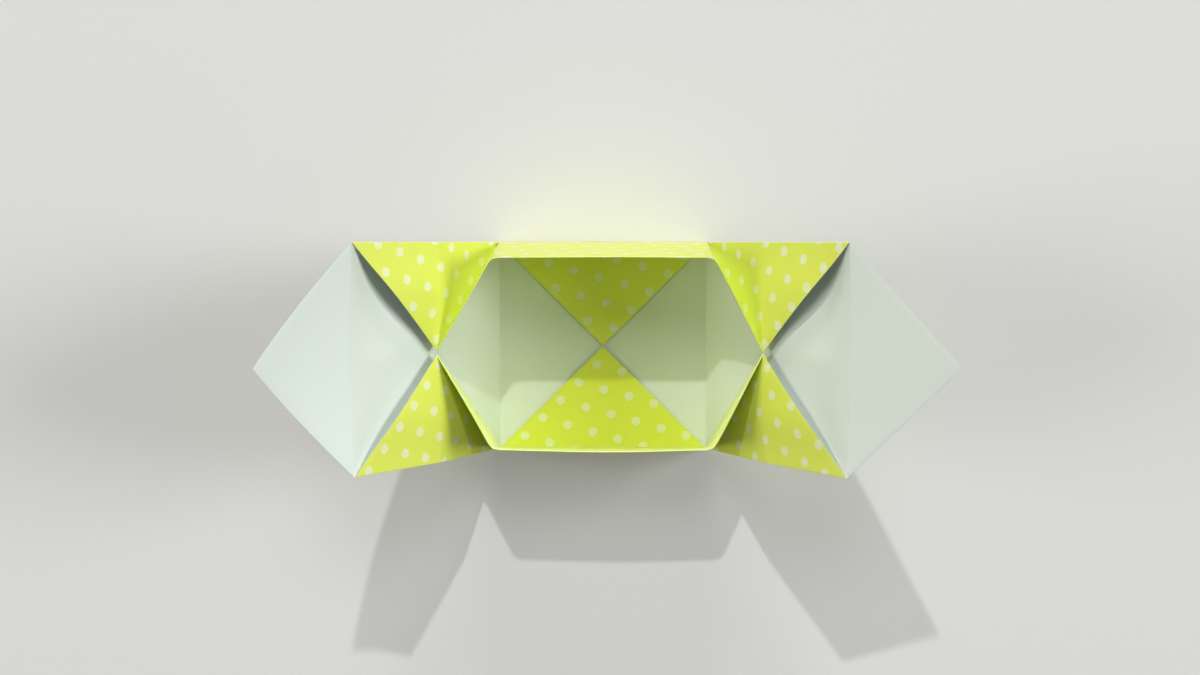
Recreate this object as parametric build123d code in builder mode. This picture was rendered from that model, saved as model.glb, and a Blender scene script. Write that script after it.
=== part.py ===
from build123d import *
from math import asin, cos, radians, sin, sqrt, tan
import os

# A box folded from one square sheet, modelled as the folded sheet it is: one
# solid of paper whose layers lie a hair apart and join only at their folds.
# The origin is the middle of the floor's underside. The long walls stand at
# +Y and -Y, and the end panels rise at +X and -X into the two wings.

# The sheet
sheet_side = 150.0
paper_thickness = 0.1
layer_gap = 0.1

# How the folded box stands open: how far the long walls lean in, and how
# steeply each end's wing climbs, below and above the crease across it
wall_lean_angle = 7.5
left_wing_angle = 50.5
left_tip_angle = 49.0
right_wing_angle = 53.5
right_tip_angle = 36.0

# How far each end panel springs away from the flaps folded over it, where it
# sags most: at the waist, half way up the wing and at the crease across it
left_waist_sag = 4.4
left_wing_sag = 5.0
left_crease_sag = 1.9
right_waist_sag = 4.2
right_wing_sag = 6.2
right_crease_sag = 1.0

# Slack that the folder leaves where corners meet
waist_gap = 1.2
centre_gap = 0.3

# Every crease lies on a grid of half the floor's width, one eighth of the
# sheet's diagonal. The sheet is folded with its corners at +X, -X, +Y and -Y.
fold_step = sheet_side * sqrt(2) / 8
double_layer = 2 * paper_thickness + layer_gap
fold_radius = double_layer / 2
upper_layer = paper_thickness + layer_gap
flat_edge = fold_step - fold_radius
reach = 3 * fold_step

# Where an end panel sags most, from its middle, and how much of that depth
# its middle keeps
deepest_place = 0.55 * fold_step
middle_share = 0.72

# A wall that leans in by this much leaves only one slope for the end walls,
# because the corner gussets between them can't stretch.
lean = radians(wall_lean_angle)
end_slope = asin((1 - sin(lean)) / cos(lean))

rim_height = fold_step * cos(lean)
rim_reach = fold_step * (1 - sin(lean))
waist_height = fold_step * sin(end_slope)
waist_reach = fold_step * (1 + cos(end_slope))


def wall_face(height, depth):
    """How far out in Y a long wall lies, at a height and a depth into its layers."""
    return fold_step - height * tan(lean) - depth / cos(lean)


def panel_plane(side, origin, slope):
    """A plane on an end panel's underside: X climbs the slope and Z faces the box."""
    along = (side * cos(slope), 0, sin(slope))
    return Plane(origin=origin, x_dir=along, z_dir=(-side * sin(slope), 0, cos(slope)))


def panel_section(side, place, slope_below, slope_above, sag):
    """An end panel's section on a crease, dipping beside its folds and less between them."""
    slope = (slope_below + slope_above) / 2
    stretch = 1 / cos((slope_below - slope_above) / 2)
    dips = (
        (flat_edge, 0),
        (flat_edge - fold_radius, 0),
        (deepest_place, -sag),
        (0, -sag * middle_share),
        (-deepest_place, -sag),
        (fold_radius - flat_edge, 0),
        (-flat_edge, 0),
    )
    underside = [Vector(across, up * stretch) for across, up in dips]
    top = [corner + Vector(0, paper_thickness * stretch) for corner in reversed(underside)]
    crease = Plane(origin=place, x_dir=(0, side, 0), z_dir=(side * cos(slope), 0, sin(slope)))
    return crease * Face(Wire.make_polygon(underside + top))


def beyond_diagonal(direction, setback, half):
    """Corners of the half panel that lies beyond a diagonal line from the waist."""
    return (
        (direction * setback, 0),
        (direction * (setback - reach), half * reach),
        (direction * reach, half * reach),
        (direction * reach, 0),
    )


# One long wall and the two gussets beside it are a strip of doubled paper that
# keeps one section: out at the foot, over the rim and down again inside. The
# strip turns at the box's corners and runs on to the waist at either end.
wall_down = Vector(0, sin(lean), -cos(lean))
inner_leg = fold_step - (upper_layer + paper_thickness / 2 + double_layer * sin(lean)) / cos(lean)
outer_line = paper_thickness / 2
inner_line = double_layer - paper_thickness / 2

with BuildPart() as rim_strip:
    with BuildLine():
        rim = Polyline(
            (-waist_reach, 0, waist_height),
            (-fold_step, rim_reach, rim_height),
            (fold_step, rim_reach, rim_height),
            (waist_reach, 0, waist_height),
        )
    rim_start = Plane(origin=rim @ 0, x_dir=wall_down.cross(rim % 0), z_dir=rim % 0)
    with BuildSketch(rim_start):
        with BuildLine():
            Line((outer_line, fold_step), (outer_line, fold_radius))
            ThreePointArc((outer_line, fold_radius), (fold_radius, outer_line), (inner_line, fold_radius))
            Line((inner_line, fold_radius), (inner_line, inner_leg))
        trace(line_width=paper_thickness)
    sweep(path=rim, transition=Transition.RIGHT)
    split(bisect_by=Plane.XY, keep=Keep.TOP)
    split(bisect_by=Plane.XZ.offset(-waist_gap / 2), keep=Keep.BOTTOM)
    for side in (1, -1):
        end_wall = panel_plane(side, (side * fold_step, 0, 0), end_slope)
        split(bisect_by=end_wall.offset(upper_layer), keep=Keep.TOP)

# The floor is a single layer. The sheet's +Y and -Y corners come down inside
# the long walls and cover it with two triangles whose tips meet in the middle.
with BuildPart() as floor:
    with BuildSketch(Plane.YZ):
        with BuildLine():
            Polyline(
                (-wall_face(0, 0), 0),
                (wall_face(0, 0), 0),
                (wall_face(paper_thickness, 0), paper_thickness),
                (-wall_face(paper_thickness, 0), paper_thickness),
                close=True,
            )
        make_face()
    extrude(amount=fold_step, both=True)

with BuildPart() as floor_flap:
    with BuildSketch(Plane.YZ):
        with BuildLine():
            Polyline(
                (centre_gap / 2, upper_layer),
                (wall_face(upper_layer, upper_layer), upper_layer),
                (wall_face(double_layer, upper_layer), double_layer),
                (centre_gap / 2, double_layer),
                close=True,
            )
        make_face()
    extrude(amount=fold_step, both=True)
    with BuildSketch(Plane.XY):
        with BuildLine():
            Polyline((0, 0), (fold_step, fold_step), (-fold_step, fold_step), close=True)
        make_face()
    extrude(amount=double_layer, mode=Mode.INTERSECT)

# The gussets stand on the end panel along two creases that run from the
# floor's corners to the waist. Their outer layer turns over there and becomes
# the end flap that lies on the panel.
gusset_face = Plane(
    origin=(fold_step, fold_step, 0),
    x_dir=(0, rim_reach - fold_step, rim_height),
    z_dir=Vector(0, rim_reach - fold_step, rim_height).cross(
        Vector(waist_reach - fold_step, -fold_step, waist_height)
    ),
)
gusset_angle = radians(180 - gusset_face.z_dir.get_angle(Vector(-sin(end_slope), 0, cos(end_slope))))
gusset_foot = upper_layer / tan(gusset_angle) - paper_thickness / (2 * sin(gusset_angle))


def folded_end(side, wing_angle, tip_angle, waist_sag, wing_sag, crease_sag):
    """An end panel with its wing, and the two flaps folded over onto it."""
    wing_slope = radians(wing_angle)
    tip_slope = radians(tip_angle)
    waist = Vector(side * waist_reach, 0, waist_height)
    shoulder = waist + fold_step * Vector(side * cos(wing_slope), 0, sin(wing_slope))
    tip = shoulder + fold_step * Vector(side * cos(tip_slope), 0, sin(tip_slope))
    end_wall = panel_plane(side, waist, end_slope)
    wing = panel_plane(side, waist, wing_slope)
    wing_tip = panel_plane(side, shoulder, tip_slope)
    with BuildLine():
        climb = Polyline((side * fold_step, 0, 0), waist, shoulder, tip)
    climb_start = Plane(origin=climb @ 0, x_dir=(0, side, 0), z_dir=climb % 0)
    stations = (
        (climb @ 0, end_slope, end_slope, 0),
        (waist, end_slope, wing_slope, waist_sag),
        ((waist + shoulder) / 2, wing_slope, wing_slope, wing_sag),
        (shoulder, wing_slope, tip_slope, crease_sag),
        (tip, tip_slope, tip_slope, 0),
    )

    sections = [panel_section(side, *station) for station in stations]

    with BuildPart() as panel:
        loft(sections, ruled=True)
        with BuildSketch(wing_tip):
            with BuildLine():
                Polyline(
                    (fold_step, 0),
                    (0, fold_step),
                    (-reach, fold_step),
                    (-reach, -fold_step),
                    (0, -fold_step),
                    close=True,
                )
            make_face()
        extrude(amount=reach, both=True, mode=Mode.INTERSECT)

    with BuildPart() as flaps:
        with BuildSketch(climb_start):
            with BuildLine():
                Line((flat_edge - fold_radius, outer_line), (flat_edge, outer_line))
                ThreePointArc(
                    (flat_edge, outer_line),
                    (fold_step - paper_thickness / 2, fold_radius),
                    (flat_edge, inner_line),
                )
                Line((flat_edge, inner_line), (waist_gap / 2, inner_line))
            trace(line_width=paper_thickness)
            mirror(about=Plane.YZ)
        sweep(path=climb, transition=Transition.RIGHT)
        with BuildSketch(end_wall):
            for half in (1, -1):
                with BuildLine():
                    Polyline(*beyond_diagonal(1, gusset_foot * sqrt(2), half), close=True)
                make_face()
        extrude(amount=reach, both=True, mode=Mode.INTERSECT)
        with BuildSketch(wing):
            for half in (1, -1):
                with BuildLine():
                    Polyline(*beyond_diagonal(-1, 0, half), close=True)
                make_face()
        extrude(amount=reach, both=True, mode=Mode.INTERSECT)

    return panel.part + flaps.part


left_end = folded_end(
    -1, left_wing_angle, left_tip_angle, left_waist_sag, left_wing_sag, left_crease_sag
)
right_end = folded_end(
    1, right_wing_angle, right_tip_angle, right_waist_sag, right_wing_sag, right_crease_sag
)

with BuildPart() as folded_sheet:
    add(rim_strip.part)
    add(floor_flap.part)
    mirror(about=Plane.XZ)
    add(floor.part)
    add(left_end)
    add(right_end)

folded_sheet.part.label = "folded_sheet"
os.makedirs("parts", exist_ok=True)
export_step(folded_sheet.part, "parts/folded_sheet.step")
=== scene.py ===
import math

import bmesh
import bpy
import numpy as np
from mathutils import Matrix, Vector, noise


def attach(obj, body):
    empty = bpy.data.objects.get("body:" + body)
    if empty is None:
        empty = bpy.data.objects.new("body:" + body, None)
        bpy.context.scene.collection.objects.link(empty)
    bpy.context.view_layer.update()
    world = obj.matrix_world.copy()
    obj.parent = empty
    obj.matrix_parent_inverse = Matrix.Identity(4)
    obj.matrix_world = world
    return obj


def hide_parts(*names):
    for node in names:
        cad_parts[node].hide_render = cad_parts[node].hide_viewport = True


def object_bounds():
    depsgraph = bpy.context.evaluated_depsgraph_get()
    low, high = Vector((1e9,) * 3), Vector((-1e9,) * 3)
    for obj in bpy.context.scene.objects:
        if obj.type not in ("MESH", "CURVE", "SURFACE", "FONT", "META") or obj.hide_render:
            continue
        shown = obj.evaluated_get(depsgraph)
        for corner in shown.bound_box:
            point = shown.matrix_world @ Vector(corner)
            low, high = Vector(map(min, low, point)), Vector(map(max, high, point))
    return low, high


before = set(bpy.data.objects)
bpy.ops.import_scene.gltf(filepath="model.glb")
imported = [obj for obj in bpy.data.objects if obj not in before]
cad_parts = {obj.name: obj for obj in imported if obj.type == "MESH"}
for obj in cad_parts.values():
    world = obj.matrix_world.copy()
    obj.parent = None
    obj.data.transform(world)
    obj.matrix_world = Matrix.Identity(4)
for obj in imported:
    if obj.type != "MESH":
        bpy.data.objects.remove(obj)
cadLow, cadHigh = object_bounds()

# The box is one square of paper, printed with dots on one side. It is drawn
# flat, creased on a grid of one eighth of its diagonal, and then folded up.
# On the flat sheet u and v count those grid steps from the middle, so the
# sheet's corners lie at 4 and -4 on both axes. Its four quarters fold alike, so
# most functions take a and b, which are u and v without their signs.

sheet = {
    "side": 0.150,              # the flat square
    "thickness": 0.0001,
    "layerGap": 0.0001,         # air between two layers that lie together
    "cellsPerStep": 14,         # mesh rows from one fold line to the next
    "facetWeight": 80,          # how far the big facets rule the shading of the folds
    "wallLean": 7.5,            # degrees that the long walls lean in
    "wingSlope": {"left": 50.5, "right": 53.5},
    "tipSlope": {"left": 49.0, "right": 36.0},      # above the crease across the wing
    # from the tips of the flaps to the line where they meet, in metres
    "waistGap": {"left": 0.00045, "right": 0.0001},
    "centreGap": 0.00015,
}

# how far the paper stands off its flat folds is in metres, and how far along the
# sheet that reaches is in fold steps
relaxed = {
    "flapLift": {"left back": 0.0008, "right back": 0.0008, "left front": 0.0006, "right front": 0.0008},
    # an end panel hangs away from its flaps in a trough along its middle, which is
    # deepest at the waist, and in a dent below each end of the crease across the wing
    "waistSag": {"left": 0.0023, "right": 0.0022},
    "troughWidth": {"left back": 2.0, "right back": 2.0, "left front": 0.7, "right front": 0.7},
    "dent": {"left back": 0.00285, "right back": 0.00362, "left front": 0.00116, "right front": 0.00078},
    "dentReach": 1.25,
    "tipCreaseSag": {"left": 0.0015, "right": 0.0004},
    "tipCreaseSoftness": 0.2,   # over which the slope changes at that crease
    "tipEdgeBow": {"left": 0.0013, "right": 0.0001},
    "rimBow": {"back": 0.0001, "front": 0.0005},
    "cornerSoftness": 0.08,     # over which a corner of the walls turns
    "innerTipLift": 0.0005,
    "innerLiftReach": 0.14,     # from the free edges of the triangles on the floor
    "waistShift": 0.0006,       # both waists lie this far to the left
    "waistShiftReach": 0.6,
    "waviness": 0.00012,
    "waveLength": 0.64,
    "waveRise": 0.25,           # above the floor, where the waves are full
    "creaseRounding": 0.5,      # how far a soft crease is smoothed out
    "roundedFrom": 0.2,         # nearness to a crease, which is 1 on it
    "softCreaseMark": 0.45,           # how strongly a soft crease is painted paler beside a full fold, as worn ink and painted highlight
}

step = sheet["side"] * math.sqrt(2) / 8
foldRadius = (sheet["thickness"] + sheet["layerGap"]) / 2 / step
bend = math.pi / 2 * foldRadius         # paper used up on each side of a full fold
lowerMid = sheet["thickness"] / 2 / step
upperMid = lowerMid + 2 * foldRadius
lean = math.radians(sheet["wallLean"])
endSlope = math.asin((1 - math.sin(lean)) / math.cos(lean))

floorCorner = Vector((1, 1, 0))
rimCorner = Vector((1, 1 - math.sin(lean), math.cos(lean)))
waist = Vector((1 + math.cos(endSlope), 0, math.sin(endSlope)))


def cutSheet(bm, place, direction, parts=None, **trim):
    # a new row of edges, where a plane that faces this way crosses the flat sheet
    parts = parts or bm.verts[:] + bm.edges[:] + bm.faces[:]
    bmesh.ops.bisect_plane(bm, geom=parts, dist=1e-6, plane_co=place, plane_no=direction, **trim)


def drawFlatSheet():
    bm = bmesh.new()
    cells = 8 * sheet["cellsPerStep"]
    bmesh.ops.create_grid(bm, x_segments=cells, y_segments=cells, size=4)
    for across in (Vector((1, 1, 0)), Vector((1, -1, 0))):
        for way in (1, -1):
            cutSheet(bm, across * way * 2, across * way, clear_outer=True)
    return bm


def inCorner(face):
    middle = face.calc_center_median()
    return 1 < abs(middle.x) < 2 and 1 < abs(middle.y) < 2


def scoreCreases(bm):
    alongU, alongV = Vector((1, 0, 0)), Vector((0, 1, 0))
    # narrow rows on both sides of every crease give the folds their roundness
    for line in (1, 2, 3):
        for way in (1, -1):
            for aside in (-bend, -bend / 2, bend / 2, bend):
                for axis in (alongU, alongV):
                    cutSheet(bm, axis * way * (line + aside), axis)
    # and wider rows round off the corners of the walls
    for way in (1, -1):
        for share in (-0.7, -0.35, 0.35, 0.7):
            cutSheet(bm, alongU * way * (1 + share * relaxed["cornerSoftness"]), alongU)
    # only the gussets fold along a diagonal
    for diagonal in (alongU - alongV, alongU + alongV):
        for aside in (-bend, 0, bend):
            corners = [face for face in bm.faces if inCorner(face)]
            pieces = list({part for face in corners for part in (*face.verts, *face.edges)})
            cutSheet(bm, diagonal.normalized() * aside, diagonal, corners + pieces)


def climbing(slope):
    return Vector((math.cos(slope), 0, math.sin(slope)))


def panelsOfEnd(end):
    # every flat facet of one quarter of the box: where it starts on the sheet,
    # where that point goes, how it runs along u and v, and which side is inside
    wingSlope = math.radians(sheet["wingSlope"][end])
    tipSlope = math.radians(sheet["tipSlope"][end])
    shoulder = waist + climbing(wingSlope)
    outwards = Vector((0, 1, 0))
    wallUp = rimCorner - floorCorner
    toWaist = waist - rimCorner
    flatX = Vector((1, 0, 0))

    def facet(corner, origin, along, across):
        return {"corner": corner, "origin": origin, "along": along, "across": across,
                "inside": along.cross(across).normalized()}

    return {
        "floor": facet((0, 0), Vector(), flatX, outwards),
        "wall": facet((1, 1), floorCorner, flatX, wallUp),
        "gusset": facet((1, 1), floorCorner, toWaist, wallUp),
        "endWall": facet((1, 0), Vector((1, 0, 0)), climbing(endSlope), outwards),
        "wing": facet((2, 0), waist, climbing(wingSlope), outwards),
        "tip": facet((3, 0), shoulder, climbing(tipSlope), outwards),
    }


def facetsAt(a, b):
    # which facets meet at a point of the sheet; on a crease there are several
    near = 1e-5
    touching = []
    if a < 1 + near and (b < 1 + near or b > 3 - near):
        touching.append("floor")
    if a < 1 + near and 1 - near < b < 3 + near:
        touching.append("wall")
    if 1 - near < a < min(b, 4 - b) + near:
        touching.append("gusset")
    if 1 - near < a < 2 + near and b < a + near:
        touching.append("endWall")
    if 2 - near < a < 3 + near and b < 2 + near:
        touching.append("wing")
    if a > 3 - near:
        touching.append("tip")
    return touching


def turnedBack(b, line):
    # how far out and how high over its facet the paper lies, once it is folded flat
    # on itself along a line
    past = b - line
    if abs(past) >= bend:
        return line - abs(past), upperMid if past > 0 else lowerMid
    turn = past / foldRadius
    middle = (lowerMid + upperMid) / 2
    return line - bend + foldRadius * math.cos(turn), middle + foldRadius * math.sin(turn)


def easeIn(x):
    x = min(max(x, 0), 1)
    return x * x * (3 - 2 * x)


def upTheWall(b):
    # fold steps above the wall's foot, on its outer and its inner layer alike
    return min(b, 4 - b) - 1


def panelSag(a, b, end, side):
    # how far the end panel hangs below its flat facets, because the folds spring open
    halfWidth = min(1, 4 - a)
    if b >= halfWidth:
        return 0
    waistSag, creaseSag = relaxed["waistSag"][end], relaxed["tipCreaseSag"][end]
    across = 1 - (b / halfWidth) ** 2
    if a > 3:
        return (creaseSag * halfWidth ** 2 + creaseRound(a, end)) * across
    width = relaxed["troughWidth"][f"{end} {side}"]
    trough = waistSag * (1 - abs(a - 2)) * math.exp(-(b / width) ** 2)
    crease = creaseSag * max(a - 2, 0) + creaseRound(a, end)
    return (trough + crease) * across + dent(a, b, end, side)


def dent(a, b, end, side):
    # like the side of a cone with its tip on a corner of the crease across the wing
    below, beside = 3 - a, 1 - b
    away = math.hypot(below, beside)
    share = away / relaxed["dentReach"]
    if away == 0 or share > 1:
        return 0
    # each of these is 1 where the dent is deepest
    along = share ** 1.5 * (1 - share) ** 2 / ((3 / 7) ** 1.5 * (4 / 7) ** 2)
    around = beside * below ** 2 / away ** 3 / (2 / 3 ** 1.5)
    return relaxed["dent"][f"{end} {side}"] * along * around


def creaseRound(a, end):
    # takes the edge off the change of slope at the crease across the wing
    turn = math.radians(sheet["wingSlope"][end] - sheet["tipSlope"][end])
    softness = relaxed["tipCreaseSoftness"]
    nearness = max(0, 1 - abs(a - 3) / softness)
    return math.tan(turn) * softness * step / 4 * nearness ** 2


def cornerRound(a, b):
    # takes the edge off the corners of the walls, more so towards the rim
    softness = relaxed["cornerSoftness"]
    nearness = max(0, 1 - abs(a - 1) / softness)
    return math.sin(endSlope) * softness * step / 4 * nearness ** 2 * upTheWall(b)


def standOff(a, b, end, side, base):
    # how far the paper lies off its flat facet, in metres, towards the inside
    off = 0
    if a > 1 and b <= a:
        if b > 1:
            # a flap bulges most half way to the wing's corner, and not beside its fold
            along = (a - b) / 2
            bulge = 4 * along * (1 - along) * easeIn((b - 1) * 2)
            off += relaxed["flapLift"][f"{end} {side}"] * bulge
        off -= panelSag(a, b, end, side)
        if a > 3:
            off -= relaxed["tipEdgeBow"][end] * 4 * (a - 3) * (4 - a)
    elif b > 3:
        fromTip = 4 - b
        fromEdge = (fromTip - a) / relaxed["innerLiftReach"]
        off += relaxed["innerTipLift"] * (1 - fromTip) * math.exp(-fromEdge)
    elif a < 1 < b:
        off -= relaxed["rimBow"][side] * math.cos(a * math.pi / 2) * upTheWall(b)
    if 1 < b < 3:
        off += cornerRound(a, b)
    # the waves fade out at the floor and at the wings' tips
    wave = noise.noise(base / relaxed["waveLength"])
    free = min(1, base.z / relaxed["waveRise"]) * (1 - (a / 4) ** 4)
    return off + relaxed["waviness"] * wave * free


def foldedPlace(flat, ends):
    # where a point of the flat sheet lies on the folded box, in metres
    a, b = abs(flat.x), abs(flat.y)
    end = "right" if flat.x > 0 else "left"
    side = "back" if flat.y > 0 else "front"
    bases, insides, heights = [], [], []
    for name in facetsAt(a, b):
        facet = ends[end][name]
        reach, height = turnedBack(b, 1 if name in ("endWall", "wing", "tip") else 2)
        bases.append(facet["origin"] + (a - facet["corner"][0]) * facet["along"]
                     + (reach - facet["corner"][1]) * facet["across"])
        insides.append(facet["inside"])
        heights.append(height)
    base = sum(bases, Vector()) / len(bases)
    mirrored = 1 if end == "right" else -1
    lift = standOff(a, b, end, side, Vector((base.x * mirrored, base.y, base.z)))
    lifted = [height + lift / step for height in heights]
    # one shift puts the point at its height over all the facets that meet there,
    # and facets that nearly face one way count as one
    shift, *rest = np.linalg.lstsq(np.array(insides), np.array(lifted), rcond=0.3)
    place = base + Vector(shift)
    # the tips that meet at a waist and in the middle of the floor keep a little apart
    if a >= 1 and b > 1:
        place.y += sheet["waistGap"][end] / step * (1 - min(place.y, 1)) ** 2
    if b > 3:
        place.y += sheet["centreGap"] / step * (1 - place.y) ** 2
    fromWaist = (place - waist).length / relaxed["waistShiftReach"]
    place.x -= mirrored * relaxed["waistShift"] / step * math.exp(-fromWaist ** 2)
    return Vector((place.x * mirrored, place.y * (1 if flat.y > 0 else -1), place.z)) * step


def creaseCloseness(flat):
    # 1 on a crease and 0 a fold's width away from it
    a, b = abs(flat.x), abs(flat.y)
    aside = [abs(across - line) for across in (a, b) for line in (1, 2, 3)]
    if 1 < a < 2 and 1 < b < 2:
        aside.append(abs(a - b) / math.sqrt(2))
    return 1 - min(1, min(aside) / bend)


def isFullFold(flat):
    # where the paper is folded flat on itself: the flaps' folds and the rim
    a, b = abs(flat.x), abs(flat.y)
    near = bend * 1.5           # just past the last rows of the fold
    return (a > 1 and abs(b - 1) < near) or abs(b - 2) < near


def foldSheet(bm):
    flatUv = bm.loops.layers.uv.new("sheetUv")
    # nearness to a crease, which the materials turn into paler creases: worn ink and a painted highlight
    wornAndHighlit = bm.verts.layers.float.new("crease")
    halfWidth = 2 * math.sqrt(2)
    for face in bm.faces:
        for loop in face.loops:
            flat = loop.vert.co
            along = (flat.x - flat.y) / math.sqrt(2)
            up = (flat.x + flat.y) / math.sqrt(2)
            loop[flatUv].uv = (0.5 + along / halfWidth / 2, 0.5 + up / halfWidth / 2)
    ends = {end: panelsOfEnd(end) for end in ("left", "right")}
    softCreases = []
    for vert in bm.verts:
        flat = vert.co.copy()
        closeness = creaseCloseness(flat)
        if isFullFold(flat):
            vert[wornAndHighlit] = closeness
        else:
            vert[wornAndHighlit] = closeness * relaxed["softCreaseMark"]
            if closeness > relaxed["roundedFrom"]:
                softCreases.append(vert)
        vert.co = foldedPlace(flat, ends)
    bmesh.ops.smooth_vert(bm, verts=softCreases, factor=relaxed["creaseRounding"],
                          use_axis_x=True, use_axis_y=True, use_axis_z=True)


def keepInside(bm):
    # the middle of the paper stays half its thickness inside the solid's bounds
    half = sheet["thickness"] / 2
    for vert in bm.verts:
        limits = zip(vert.co, cadLow, cadHigh)
        vert.co = [min(max(place, low + half), high - half) for place, low, high in limits]


def addToScene(name, data):
    made = bpy.data.objects.new(name, data)
    bpy.context.scene.collection.objects.link(made)
    return made


def finishMesh(name, bm):
    mesh = bpy.data.meshes.new(name)
    bm.to_mesh(mesh)
    bm.free()
    return addToScene(name, mesh)


def makePaperBox():
    bm = drawFlatSheet()
    scoreCreases(bm)
    foldSheet(bm)
    keepInside(bm)
    box = finishMesh("paperBox", bm)
    box.data.shade_smooth()
    shell = box.modifiers.new("paperThickness", "SOLIDIFY")
    shell.thickness = sheet["thickness"]
    shell.offset = 0
    shell.material_offset = 1
    shell.material_offset_rim = 2
    crisp = box.modifiers.new("flatFacets", "WEIGHTED_NORMAL")
    crisp.weight = sheet["facetWeight"]
    return box


class Flow:
    # one value in a material, so that shader maths reads as plain maths
    def __init__(self, tree, out=None):
        self.tree = tree
        self.out = out

    def node(self, kind, settings=None, inputs=None, output=0):
        made = self.tree.nodes.new(kind)
        for name, value in (settings or {}).items():
            setattr(made, name, value)
        for key, value in (inputs or {}).items():
            if isinstance(value, Flow):
                self.tree.links.new(value.out, made.inputs[key])
            else:
                made.inputs[key].default_value = value
        return Flow(self.tree, made.outputs[output])

    def sibling(self, name):
        # another output of the node that this value comes from
        return Flow(self.tree, self.out.node.outputs[name])

    def maths(self, operation, *others):
        values = dict(enumerate((self, *others)))
        return self.node("ShaderNodeMath", {"operation": operation}, values)

    def __add__(self, other):
        return self.maths("ADD", other)

    def __sub__(self, other):
        return self.maths("SUBTRACT", other)

    def __rsub__(self, other):
        return self.maths("MULTIPLY_ADD", -1.0, other)

    def __mul__(self, other):
        return self.maths("MULTIPLY", other)

    def __truediv__(self, other):
        return self.maths("DIVIDE", other)

    def __pow__(self, other):
        return self.maths("POWER", other)

    __radd__ = __add__
    __rmul__ = __mul__

    def smooth(self, low, high):
        return self.node("ShaderNodeMapRange", {"interpolation_type": "SMOOTHSTEP"},
                         {0: self, 1: low, 2: high})

    def colours(self, low, high):
        # this value, from 0 to 1, picks a colour between two
        return self.node("ShaderNodeMix", {"data_type": "RGBA"}, {0: self, 6: low, 7: high}, 2)


def newMaterial(name):
    material = bpy.data.materials.new(name)
    material.use_nodes = True
    tree = material.node_tree
    shader = tree.nodes["Principled BSDF"]
    return material, Flow(tree), shader


def cover(shader, colour, rough, bump):
    for socket, value in (("Base Color", colour), ("Roughness", rough), ("Normal", bump)):
        value.tree.links.new(value.out, shader.inputs[socket])


def sheetMillimetres(flow):
    place = flow.node("ShaderNodeUVMap", {"uv_map": "sheetUv"})
    across = place.node("ShaderNodeSeparateXYZ", inputs={0: place})
    up = across.sibling("Y")
    side = sheet["side"] * 1000
    return place, across * side, up * side


fibres = {
    "fineScale": 520.0,         # waves of the noise along a side of the sheet
    "broadScale": 60.0,
    "fineShare": 0.6,
    "depth": 0.00005,           # metres
}


def paperFibres(flow, place, roughSpan, bumpStrength):
    fineShare = fibres["fineShare"]
    fine = place.node("ShaderNodeTexNoise", inputs={
        "Vector": place, "Scale": fibres["fineScale"], "Detail": 3.0})
    broad = place.node("ShaderNodeTexNoise", inputs={
        "Vector": place, "Scale": fibres["broadScale"], "Detail": 2.0})
    surface = fine * fineShare + broad * (1 - fineShare)
    bump = flow.node("ShaderNodeBump", inputs={
        "Strength": bumpStrength, "Distance": fibres["depth"], "Height": surface})
    smoothest, roughest = roughSpan
    rough = surface * (roughest - smoothest) + smoothest
    return surface, rough, bump


printed = {
    "ink": (0.78, 0.865, 0.070, 1),
    "inkDeep": (0.75, 0.845, 0.055, 1),
    "dot": (0.83, 0.90, 0.50, 1),
    # the creases of the print are paler: partly worn ink, partly a painted highlight of the folds'
    # rounded edges
    "wornFoldAndHighlight": (0.88, 0.92, 0.42, 1),
    "creaseMark": 0.6,
    "creaseMarkFrom": 0.2,            # nearness to a crease, which is 1 on it
    "roughness": (0.46, 0.58),
    "bump": 0.25,
    "gloss": 0.75,
    "sheen": 0.3,
    "sheenRoughness": 0.5,
    # millimetres on the sheet
    "dotWidth": 2.3,
    "dotPitch": 6.53,
    "rowPitch": 5.86,
    "firstDot": (145.5, 2.24),  # one dot's middle, from the sheet's corner
    "dotBlur": 0.12,
    "dotWobble": 0.25,
    "wobbleScale": 90.0,        # waves of the noise along a side of the sheet
}


def printedPaper():
    material, flow, shader = newMaterial("printedPaper")
    place, across, up = sheetMillimetres(flow)
    # every other row is half a pitch along, and a dot fills the middle of its cell
    row = (up - printed["firstDot"][1]) / printed["rowPitch"] + 0.5
    shifted = row.maths("FLOOR").maths("FLOORED_MODULO", 2.0) * 0.5
    column = (across - printed["firstDot"][0]) / printed["dotPitch"] + shifted + 0.5
    fromDotX = (column.maths("FRACT") - 0.5) * printed["dotPitch"]
    fromDotY = (row.maths("FRACT") - 0.5) * printed["rowPitch"]
    surface, rough, bump = paperFibres(flow, place, printed["roughness"], printed["bump"])
    wobble = place.node("ShaderNodeTexNoise", inputs={"Vector": place, "Scale": printed["wobbleScale"]})
    fromDot = (fromDotX * fromDotX + fromDotY * fromDotY) ** 0.5
    distance = fromDot + (wobble - 0.5) * printed["dotWobble"]
    radius, blur = printed["dotWidth"] / 2, printed["dotBlur"]
    dots = 1 - distance.smooth(radius - blur, radius + blur)
    # paler along the creases: partly worn ink, partly a painted highlight
    creaseMark = place.node("ShaderNodeAttribute", {"attribute_name": "crease"}, output=2)
    ink = surface.colours(printed["inkDeep"], printed["ink"])
    dotted = dots.colours(ink, printed["dot"])
    wornAndHighlit = creaseMark.smooth(printed["creaseMarkFrom"], 1.0) * printed["creaseMark"]
    colour = wornAndHighlit.colours(dotted, printed["wornFoldAndHighlight"])
    cover(shader, colour, rough, bump)
    shader.inputs["Specular IOR Level"].default_value = printed["gloss"]
    shader.inputs["Sheen Weight"].default_value = printed["sheen"]
    shader.inputs["Sheen Roughness"].default_value = printed["sheenRoughness"]
    return material


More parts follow.
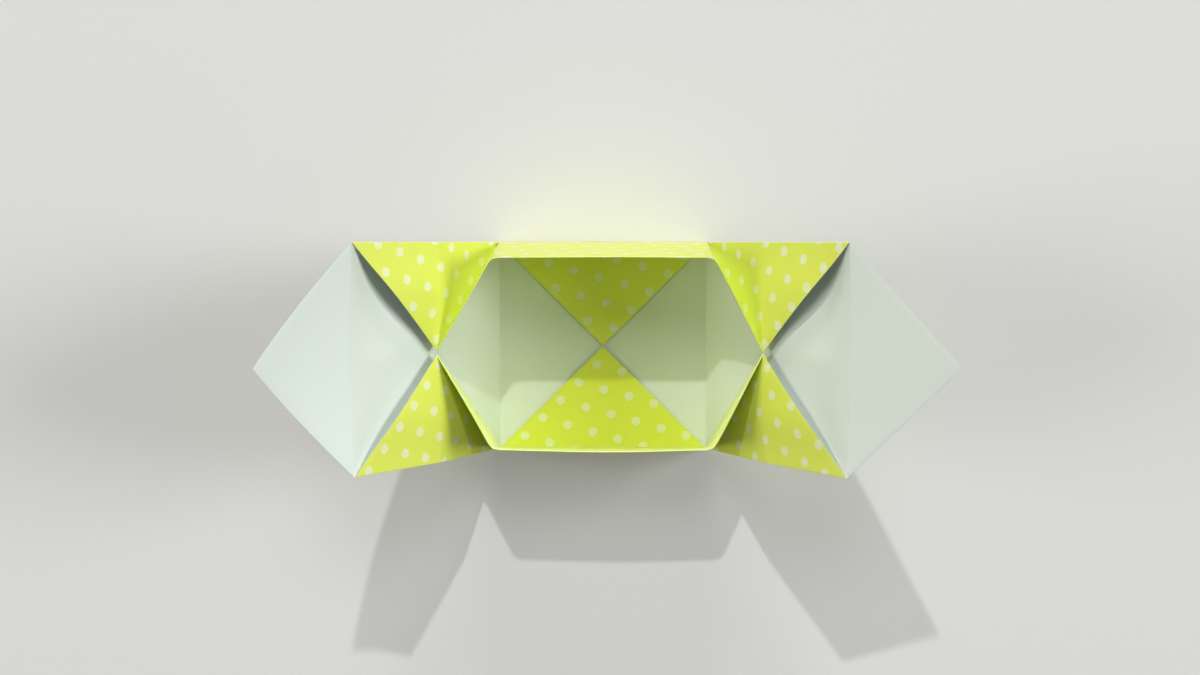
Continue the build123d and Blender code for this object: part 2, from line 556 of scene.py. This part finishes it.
plain = {
    "paper": (0.80, 0.87, 0.80, 1),
    "shade": (0.77, 0.845, 0.77, 1),
    # the creases of the white side are paler: a painted highlight
    "fold": (0.86, 0.90, 0.84, 1),
    "edge": (0.84, 0.87, 0.80, 1),
    "creaseMark": 0.4,
    "roughness": (0.6, 0.75),
    "edgeRoughness": (0.7, 0.85),
    "bump": 0.3,
    "gloss": 0.3,
}


def plainPaper():
    material, flow, shader = newMaterial("plainPaper")
    place = flow.node("ShaderNodeUVMap", {"uv_map": "sheetUv"})
    surface, rough, bump = paperFibres(flow, place, plain["roughness"], plain["bump"])
    # paler along the creases: a painted highlight
    creaseMark = place.node("ShaderNodeAttribute", {"attribute_name": "crease"}, output=2)
    body = surface.colours(plain["shade"], plain["paper"])
    colour = (creaseMark * plain["creaseMark"]).colours(body, plain["fold"])
    cover(shader, colour, rough, bump)
    shader.inputs["Specular IOR Level"].default_value = plain["gloss"]
    return material


def cutEdge():
    material, flow, shader = newMaterial("cutEdge")
    place = flow.node("ShaderNodeUVMap", {"uv_map": "sheetUv"})
    surface, rough, bump = paperFibres(flow, place, plain["edgeRoughness"], plain["bump"])
    colour = surface.colours(plain["shade"], plain["edge"])
    cover(shader, colour, rough, bump)
    return material


studio = {
    "floorColour": (0.75, 0.75, 0.74, 1),
    "floorBounce": (0.06, 0.06, 0.055, 1),  # what the floor throws back at the box
    "floorRoughness": 0.9,
    "floorReach": 1.8,
    "floorDrop": 0.0001,
    "airColour": (0.70, 0.70, 0.69, 1),     # what shows past the floor
    "airLevel": 0.12,                       # and the even light that it gives
    "lampDistance": 4.0,
    # degrees round from the back and up from the floor, the light that it gives,
    # its width in metres and its colour
    "lamps": {
        "keyLamp": (-7, 39, 0.34, 0.09, (1, 1, 1)),
        "backBox": (0, 14, 0.46, 1.1, (1, 1, 1)),
        "topBox": (4, 52, 0.13, 1.4, (1, 1, 1)),
        "leftBox": (-92, 27, 0.34, 2.2, (1, 0.98, 0.90)),
        "rightBox": (82, 27, 0.55, 1.9, (0.98, 1, 1)),
    },
    "cameraPlace": (0.0007, 0.0271, 0.3467),
    "cameraTurn": (-4.130, 0.239, 0.019),
    "lens": 40.65,
}


def seenDirectly(flow):
    # 1 for what the camera sees, also in a mirror or through glass
    lightPath = flow.node("ShaderNodeLightPath", output="Is Camera Ray")
    seen = lightPath
    for ray in ("Is Glossy Ray", "Is Transmission Ray"):
        seen = seen.maths("MAXIMUM", lightPath.sibling(ray))
    return seen


def makeFloor():
    bm = bmesh.new()
    bmesh.ops.create_grid(bm, x_segments=1, y_segments=1, size=studio["floorReach"])
    bmesh.ops.translate(bm, verts=bm.verts[:], vec=(0, 0, -studio["floorDrop"]))
    floor = finishMesh("studioFloor", bm)
    material, flow, shader = newMaterial("floorCard")
    colour = seenDirectly(flow).colours(studio["floorBounce"], studio["floorColour"])
    flow.tree.links.new(colour.out, shader.inputs["Base Color"])
    shader.inputs["Roughness"].default_value = studio["floorRoughness"]
    floor.data.materials.append(material)
    return floor


def makeLamp(name, around, height, level, size, colour):
    lamp = bpy.data.lights.new(name, "AREA")
    lamp.shape = "DISK"
    lamp.size = size
    # at a level of 1 a card that faces the lamp would show just its own colour
    lamp.energy = level * (math.pi * studio["lampDistance"]) ** 2
    lamp.color = colour
    holder = addToScene(name, lamp)
    around, height = math.radians(around), math.radians(height)
    out = math.cos(height)
    towards = Vector((math.sin(around) * out, math.cos(around) * out, math.sin(height)))
    holder.location = towards * studio["lampDistance"]
    holder.rotation_euler = towards.to_track_quat("Z", "Y").to_euler()


def makeAir():
    world = bpy.data.worlds.new("studioAir")
    world.use_nodes = True
    flow = Flow(world.node_tree)
    level = studio["airLevel"]
    colour = seenDirectly(flow).colours((level, level, level, 1), studio["airColour"])
    air = world.node_tree.nodes["Background"]
    flow.tree.links.new(colour.out, air.inputs["Color"])
    bpy.context.scene.world = world


def makeStudio():
    makeFloor()
    for name, setting in studio["lamps"].items():
        makeLamp(name, *setting)
    makeAir()
    view = bpy.data.cameras.new("photoCamera")
    view.lens = studio["lens"]
    view.sensor_width = 36
    view.clip_start = 0.01
    camera = addToScene("photoCamera", view)
    camera.location = studio["cameraPlace"]
    camera.rotation_euler = [math.radians(angle) for angle in studio["cameraTurn"]]
    bpy.context.scene.camera = camera
    bpy.context.scene.view_settings.view_transform = "Standard"


print("folding the sheet")
paperBox = makePaperBox()

print("giving the paper its print, fibres and worn folds")
for finish in (plainPaper(), printedPaper(), cutEdge()):
    paperBox.data.materials.append(finish)
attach(paperBox, "root")
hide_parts("folded_sheet")

print("setting up the studio")
makeStudio()
